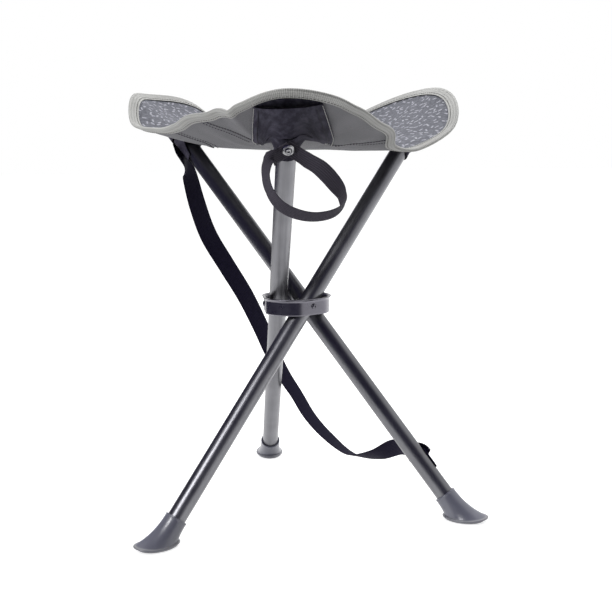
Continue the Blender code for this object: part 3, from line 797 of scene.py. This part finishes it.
for i, letter in enumerate("abc"):
    tip = first_corner + i * third
    line = leg_lines[letter]
    target = on_line(line, [(0, tab_level + fit_gap, screw_at + pocket_above_screw)])[0]
    inner = 0.7
    for _ in range(12):
        spot, up = seat_at(tip, inner), seat_up(tip, inner)
        out = (seat_at(tip, inner + 0.01) - spot) / 0.01
        missing = target - (spot - up * ((spot - target) @ up))
        inner += (missing @ out) / (out @ out)
    deep = (seat_at(tip, inner) - target) @ seat_up(tip, inner) - pocket_hang

    def pocket_spot(w, u, inner=inner):
        """Angle and share of the seat over a spot of the pocket: w from mouth to end, u across."""
        part = np.clip((np.abs(u) - 0.25) / 0.45, 0, 1)
        end = inner + (pocket_end - inner) * part * part * (3 - 2 * part)
        here = pocket_mouth + (end - pocket_mouth) * w
        wide = mouth_wide + (end_wide - mouth_wide) * w
        return tip + u * wide / 2 / (here * edge_of(tip)[0]), here

    def pocket_at(w, u):
        """Points of the pocket's cloth, hanging clear of the seat round the leg's top."""
        angle, here = pocket_spot(w, u)
        hang = mouth_hang + (deep - mouth_hang) * w
        near = 1 - w + w * np.exp(-((np.abs(u) / 0.45) ** 3))
        drop = pocket_hang + hang * (1 - u * u) * near
        return seat_at(angle, here) - seat_up(angle, here) * drop[..., None]

    w, u = np.meshgrid(np.linspace(0, 1, 49), np.linspace(-1, 1, 73), indexing="ij")
    grid = pocket_at(w, u)
    slope = unit(np.cross(np.gradient(grid, axis=1), np.gradient(grid, axis=0)))
    if slope[24, 36, 2] > 0:
        slope = -slope
    hem = np.clip((np.abs(u) - 0.78) / 0.03, 0, 1) + np.clip((0.06 - w) / 0.02, 0, 1)
    grid = grid + slope * (np.minimum(hem, 1) * hem_thick)[..., None]
    plan = np.stack([u * pocket_flat, w * pocket_flat], -1)
    # Under the seat inside each pocket lies a dark sheet that is painted shade: it stands in for the
    # shadow seen through the pocket's mouth.
    angle, here = pocket_spot(w, u * 0.985, pocket_end)
    up = seat_up(angle, here)
    painted_shade_grid = seat_at(angle, here) - up * painted_shade_drop
    parts = {"left": (0, 23, -1), "middle": (22, 51, 0), "right": (50, 73, 1)}
    for hand, (start, stop, side) in parts.items():
        cut = np.s_[:, start:stop]
        label = f"{letter}_{hand}"
        bearing = tip + side * pocket_turn
        pocket = slab("pocket_" + label, grid[cut], slope[cut], pocket_thick, painted_shade_faces, plan[cut])
        painted_shade_sheet = slab(
            "pocket_lining_" + label, painted_shade_grid[cut], -up[cut], painted_shade_thick, painted_shade_faces, plan[cut]
        )
        close_in(painted_shade_sheet)
        if side:
            close_in(pocket)
        else:
            gather(pocket, letter)
        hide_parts("corner_pocket_" + letter)

    w = np.linspace(0.03, 0.985, 60)
    for hand, side in (("left", -1), ("right", 1)):
        pale_runs, dark_runs = [], []
        for at, kept in ((0.965, pale_runs), (0.80, dark_runs)):
            u = np.full_like(w, side * at)
            near, step = pocket_at(w, u), pocket_at(w, u - side * 0.02)
            face = downward(np.cross(np.gradient(near, axis=0), near - step))
            kept.append((near + face * (pocket_thick / 2 + 0.0005), face))
        u = side * np.linspace(0.72, 0.94, 16)
        near, step = pocket_at(np.full_like(u, 0.965), u), pocket_at(np.full_like(u, 0.93), u)
        face = downward(np.cross(np.gradient(near, axis=0), near - step))
        pale_runs.append((near + face * (pocket_thick / 2 + 0.0002), face))
        label = f"{letter}_{hand}"
        bearing = tip + side * pocket_turn
        pale = sew("pocket_stitches_" + label, pale_runs, pale_thread, 0.0032, 0.0024, 0.0009)
        close_in(pale)
        hem_sewn = sew("pocket_hem_stitches_" + label, dark_runs, dark_thread, 0.0028, 0.0023, 0.0009)
        close_in(hem_sewn)

    v, w = np.meshgrid(np.linspace(-1, 1, 61), np.linspace(0, 1, 33))
    swing = v * tab_wrap
    ring_at = tube_radius + fit_gap + tab_thick / 2
    along = screw_at + tab_above_screw - tab_long * w * (1 - 0.14 * v**4)
    wrapped = on_line(line, np.stack([ring_at * np.sin(swing), ring_at * np.cos(swing), along], -1))
    sewn_at, sewn_across = np.full_like(v, tab_sewn), -tab_spread * v
    drop = pocket_thick / 2 + tab_thick / 2 + tab_gap
    spread = pocket_at(sewn_at, sewn_across) - seat_up(*pocket_spot(sewn_at, sewn_across)) * drop
    flare = ((1 - w) ** 1.25 * np.maximum(0, (np.abs(v) - 0.25) / 0.75) ** 1.1)[..., None]
    grid = wrapped + (spread - wrapped) * flare
    slope = unit(np.cross(np.gradient(grid, axis=1), np.gradient(grid, axis=0)))
    outward = np.array(line)[:3, 1]
    if slope[16, 30] @ outward < 0:
        slope = -slope
    grid = grid + slope * (np.clip((w - 0.86) / 0.04, 0, 1) * hem_thick)[..., None]
    plan = np.stack([v * tab_half, w * tab_long], -1)
    tab = slab("tab_" + letter, grid, slope, tab_thick, painted_shade_faces, plan)
    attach(tab, "leg_" + letter)
    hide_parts("corner_tab_" + letter)

# Hand loop: narrow charcoal webbing that hangs in an open loop under the front corner.
# Both of its ends are clamped under the front leg's seat screw.

loop_wide, loop_thick = 0.016, 0.0014


def smooth_line(points, per):
    """Points along a centripetal curve through the given ones."""
    knots = [2 * points[0] - points[1], *points, 2 * points[-1] - points[-2]]
    made = []
    for a, b, c, d in zip(knots, knots[1:], knots[2:], knots[3:]):
        t1 = (b - a).length ** 0.5
        t2 = t1 + (c - b).length ** 0.5
        t3 = t2 + (d - c).length ** 0.5
        for k in range(per):
            t = t1 + (t2 - t1) * k / per
            ab = a + (b - a) * (t / t1)
            bc = b + (c - b) * ((t - t1) / (t2 - t1))
            cd = c + (d - c) * ((t - t2) / (t3 - t2))
            abc = ab + (bc - ab) * (t / t2)
            bcd = bc + (cd - bc) * ((t - t1) / (t3 - t1))
            made.append(abc + (bcd - abc) * ((t - t1) / (t2 - t1)))
    return [*made, points[-1].copy()]


def webbing_strip(name, stops, wide, thick, per, look):
    """Flat webbing through stops of (point, facing); gives the piece and its middle line."""
    line = smooth_line([p for p, _ in stops], per)
    facings = []
    for (_, a), (_, b) in zip(stops, stops[1:]):
        facings += [a.lerp(b, k / per) for k in range(per)]
    facings.append(stops[-1][1])
    turn = np.linspace(0, 2 * math.pi, 28, endpoint=False)
    across = np.sign(np.cos(turn)) * np.abs(np.cos(turn)) ** 0.45 * wide / 2
    level = np.sign(np.sin(turn)) * np.abs(np.sin(turn)) ** 0.6 * thick / 2
    rows, plan, gone = [], [], 0.0
    for k, (point, facing) in enumerate(zip(line, facings)):
        run = line[min(k + 1, len(line) - 1)] - line[max(k - 1, 0)]
        side = run.cross(facing).normalized()
        face = side.cross(run).normalized()
        rows.append(np.array(point) + across[:, None] * np.array(side) + level[:, None] * np.array(face))
        gone += (point - line[max(k - 1, 0)]).length
        plan.append(np.stack([across, np.full_like(across, gone)], 1))
    return surface(name, rows, look, around=True, caps=True, plan=plan), line


def webbing_look(name, dark, light):
    """Ribbed webbing, between two tones."""
    look, tree, shader = finish_of(name, specular_ior_level=0.15)
    spot = at_flat(tree)
    across, run = (coordinate(tree, spot, axis) for axis in (0, 1))
    rows_of_cord = across.sine(0.0021) * 0.5 + 0.5
    picks = (run + across.math("ABSOLUTE", across) * 0.5).sine(0.0014) * 0.5 + 0.5
    fuzz = grain(tree, spot, 1100.0, 2.0)
    tone = rows_of_cord * 0.35 + picks * 0.3 + fuzz * 0.35
    feed(tree, shader, base_color=tone.between(dark, light))
    feed(tree, shader, roughness=fuzz * 0.2 + 0.66)
    feed(tree, shader, normal=bump(tree, rows_of_cord + picks + fuzz * 0.4, 0.00018))
    return look


charcoal_webbing = webbing_look("charcoal_webbing", (0.018, 0.016, 0.024), (0.088, 0.08, 0.102))

outward = Vector((0, lean_cos, -lean_sin))
upward = Vector((0, lean_sin, lean_cos))
clamp = upward * screw_at + outward * tube_radius
under = outward * (tab_level - tube_radius + 2 * fit_gap + loop_thick / 2)
over = under + outward * (loop_thick + fit_gap)
leave = Vector((-0.82, 0, 0)) - upward * 0.57
arrive = Vector((-0.8, 0, 0)) + upward * 0.6
stops = [
    (under - leave * 0.004, outward),
    (under, outward),
    (under + leave * 0.009, outward),
    (Vector((-0.018, 0.004, -0.013)), Vector((-0.15, 0.85, -0.5))),
    (Vector((-0.030, 0.010, -0.021)), Vector((-0.3, 0.8, -0.45))),
    (Vector((-0.042, 0.013, -0.034)), Vector((-0.45, 0.75, -0.4))),
    (Vector((-0.050, 0.012, -0.046)), Vector((-0.75, 0.5, -0.25))),
    (Vector((-0.051, 0.009, -0.055)), Vector((-0.8, 0.3, -0.5))),
    (Vector((-0.043, 0.007, -0.063)), Vector((-0.4, 0.55, -0.75))),
    (Vector((-0.025, 0.008, -0.0665)), Vector((0, 0.6, -0.8))),
    (Vector((-0.006, 0.012, -0.063)), Vector((0.2, 0.65, -0.75))),
    (Vector((0.010, 0.016, -0.054)), Vector((0.6, 0.6, -0.5))),
    (Vector((0.019, 0.016, -0.041)), Vector((0.86, 0.4, -0.2))),
    (Vector((0.022, 0.012, -0.027)), Vector((0.9, 0.4, 0.0))),
    (Vector((0.019, 0.008, -0.014)), Vector((0.75, 0.6, -0.15))),
    (over - arrive * 0.009, outward),
    (over, outward),
    (over + arrive * 0.004, outward),
]
upright = Matrix.Translation(pivots["a"]) @ Matrix.Rotation(flat_bearings["a"], 4, "Z")
stops = [(upright @ (clamp + p), upright.to_3x3() @ f) for p, f in stops]
loop, loop_line = webbing_strip("carry_loop", stops, loop_wide, loop_thick, 10, charcoal_webbing)
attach(loop, "leg_a")
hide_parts("hand_loop")

# Carry strap: broad webbing from the top of the third leg, hanging slack behind the hub,
# to a screw near that leg's foot. Both ends are fixed, so it hangs in one long curve.

strap_wide, strap_thick = 0.025, 0.0016
strap_above_end = 0.0554
strap_slant = 0.016
line = leg_lines["c"]
level = tab_level + 1.5 * fit_gap + strap_thick / 2
face = line.to_3x3() @ Vector((0, 1, 0))
hold = line @ Vector((0, level, screw_at))
aslant = Vector((0.228, -0.659, -0.717))
stops = [
    (hold - aslant * 0.007, face),
    (hold, face),
    (hold + aslant * 0.0075, face),
]
for x, y, z, a, b, c in (
    (-0.742, 0.658, 0.763, -0.62, 0.68, -0.32),
    (-0.682, 0.678, 0.556, -0.53, 0.80, -0.20),
    (-0.604, 0.716, 0.364, -0.50, 0.83, -0.20),
    (-0.470, 0.729, 0.168, -0.50, 0.82, -0.24),
    (-0.330, 0.741, -0.030, -0.50, 0.82, -0.26),
    (-0.215, 0.748, -0.231, -0.52, 0.78, -0.32),
    (-0.132, 0.741, -0.398, -0.55, 0.70, -0.42),
    (-0.033, 0.710, -0.562, -0.60, 0.60, -0.52),
    (0.064, 0.653, -0.688, -0.62, 0.52, -0.60),
    (0.148, 0.557, -0.804, -0.58, 0.46, -0.67),
    (0.268, 0.418, -0.909, -0.45, 0.28, -0.85),
    (0.441, 0.241, -1.000, -0.15, -0.22, -0.96),
    (0.600, 0.085, -0.968, -0.25, -0.60, -0.75),
    (0.735, -0.035, -0.895, -0.42, -0.78, -0.45),
):
    spot = Vector((x * tip_radius, y * tip_radius, z * tip_height))
    stops.append((hub_middle + spot, Vector((a, b, c))))
wrap = tube_radius + fit_gap + strap_thick / 2
for turn in (-8, 8, 26, 44, 62, 78):
    bend = math.radians(max(turn, 0))
    lead = min(turn, 0) * 0.001
    climb = strap_slant * max(0, 1 - (turn + 8) / 34)
    along = strap_above_end - leg_lower + climb
    spot = Vector((wrap * math.cos(bend), -wrap * math.sin(bend) - lead, along))
    stops.append((line @ spot, line.to_3x3() @ Vector((-math.cos(bend), math.sin(bend), 0))))
# The strap's webbing is the loop's kind painted far darker: painted shade, for the strap hanging in shadow
# behind the hub.
strap_webbing_painted_shade = webbing_look("strap_webbing_painted_shade", (0.002, 0.0015, 0.007), (0.011, 0.008, 0.03))
strap, strap_line = webbing_strip("shoulder_strap", stops, strap_wide, strap_thick, 12, strap_webbing_painted_shade)
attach(strap, "leg_c")
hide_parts("carry_strap")

# Stage: a pale floor under soft studio light, bright all round and dim only towards the camera.
# Five lamps light the whole stool, and a card adds no more than a reflection on four pieces.

floor_look, tree, shader = finish_of("pale_floor", base_color=(0.6, 0.6, 0.6, 1), roughness=0.9)
rays = node(tree, "ShaderNodeLightPath", out="Is Camera Ray")
seen = rays + rays.also("Is Glossy Ray") + rays.also("Is Transmission Ray")
glow = node(tree, "ShaderNodeEmission", {"Color": (1, 1, 1, 1), "Strength": seen * 0.74})
both = node(tree, "ShaderNodeAddShader", {0: Wire(tree, shader.outputs[0]), 1: glow})
tree.links.new(both.socket, tree.nodes["Material Output"].inputs[0])
reach, front_edge = 30.0, -0.45
corners = [[(-0.42, front_edge, 0), (reach, front_edge, 0)], [(-8.0, reach, 0), (reach, reach, 0)]]
ground = surface("floor", corners, floor_look)

world = bpy.context.scene.world or bpy.data.worlds.new("studio")
bpy.context.scene.world = world
world.use_nodes = True
world.cycles.sampling_method = "NONE"
tree = world.node_tree
tree.nodes.clear()
facing = node(tree, "ShaderNodeTexCoord", out="Generated")


def side_of_sky(way, low, high):
    """Rises from 0 to 1 towards the given side of the sky."""
    values = {0: facing, 1: way}
    along = node(tree, "ShaderNodeVectorMath", values, out="Value", operation="DOT_PRODUCT")
    return along.ramp(low, high)


front = side_of_sky((-0.55, -0.7, 0.45), 0.0, 0.55)
left = side_of_sky((-0.95, 0.3, 0.0), 0.3, 0.7)
dim = front.math("MAXIMUM", front, left)
shade = side_of_sky((0.6, -0.8, 0.0), -0.3, 0.8)
shiny = node(tree, "ShaderNodeLightPath", out="Is Glossy Ray")
plain = shiny.also("Is Diffuse Ray")
tint = (dim * shiny).between((1, 1, 1), (0.035, 0.03, 0.085))
level = 1.0 - plain * (shade * 0.45 + 0.25)
back = node(tree, "ShaderNodeBackground", {"Color": tint, "Strength": level})
out = tree.nodes.new("ShaderNodeOutputWorld")
tree.links.new(back.socket, out.inputs[0])

lamp_aim = Vector((0, 0, 0.25))
for name, spot, size, power in (
    ("key_lamp", (-1.7, -0.2, 0.95), (0.9, 0.9), 10.0),
    ("top_lamp", (0.5, 0.3, 2.2), (1.6, 1.6), 36.0),
    ("side_lamp", (1.7, 0.2, 1.2), (1.2, 1.2), 9.0),
    ("low_lamp", (-1.3, -0.9, 0.2), (0.7, 0.7), 6.0),
    ("back_lamp", (0.3, 1.9, 1.8), (1.8, 1.8), 14.0),
    ("shine_card", (-1.2, -1.07, 1.25), (0.75, 0.5), 19.0),
):
    lamp = bpy.data.lights.new(name, "AREA")
    lamp.shape = "RECTANGLE"
    lamp.size, lamp.size_y = size
    lamp.energy = power
    made = add_object(name, lamp)
    made.location = spot
    made.visible_glossy = name == "shine_card"
    made.visible_diffuse = name != "shine_card"
    made.visible_camera = False
    if name == "shine_card":
        flagged = bpy.data.collections.new("lit_by_shine_card")
        for piece in ("tube_b", "boot_b", "boot_c", "hub_band"):
            flagged.objects.link(bpy.data.objects[piece])
        made.light_linking.receiver_collection = flagged
    made.rotation_euler = (lamp_aim - Vector(spot)).to_track_quat("-Z", "Y").to_euler()

# Camera: a short telephoto, a little below the seat's edge, looking slightly down.
# Its place, turn and lens were fitted to the edges of the three tubes.

picture_wide = 612
focal_pixels = 971.89
camera_from_hub = Vector((-0.10173, -1.08220, 0.15955))

lens = bpy.data.cameras.new("camera")
lens.sensor_width = 36.0
lens.lens = lens.sensor_width * focal_pixels / picture_wide
azimuth, tilt, roll, yaw = (math.radians(v) for v in (-5.370, -8.549, -0.624, -0.621))
ahead = Vector((-math.sin(azimuth) * math.cos(tilt), math.cos(azimuth) * math.cos(tilt), math.sin(tilt)))
ahead.rotate(Matrix.Rotation(yaw, 3, "Z"))
right = ahead.cross(Vector((0, 0, 1))).normalized()
above = right.cross(ahead)
right, above = (
    right * math.cos(roll) + above * math.sin(roll),
    above * math.cos(roll) - right * math.sin(roll),
)
camera = add_object("camera", lens)
place = Matrix((right, above, -ahead)).transposed().to_4x4()
place.translation = hub_middle + camera_from_hub
camera.matrix_world = place
bpy.context.scene.camera = camera
bpy.context.scene.view_settings.view_transform = "Standard"
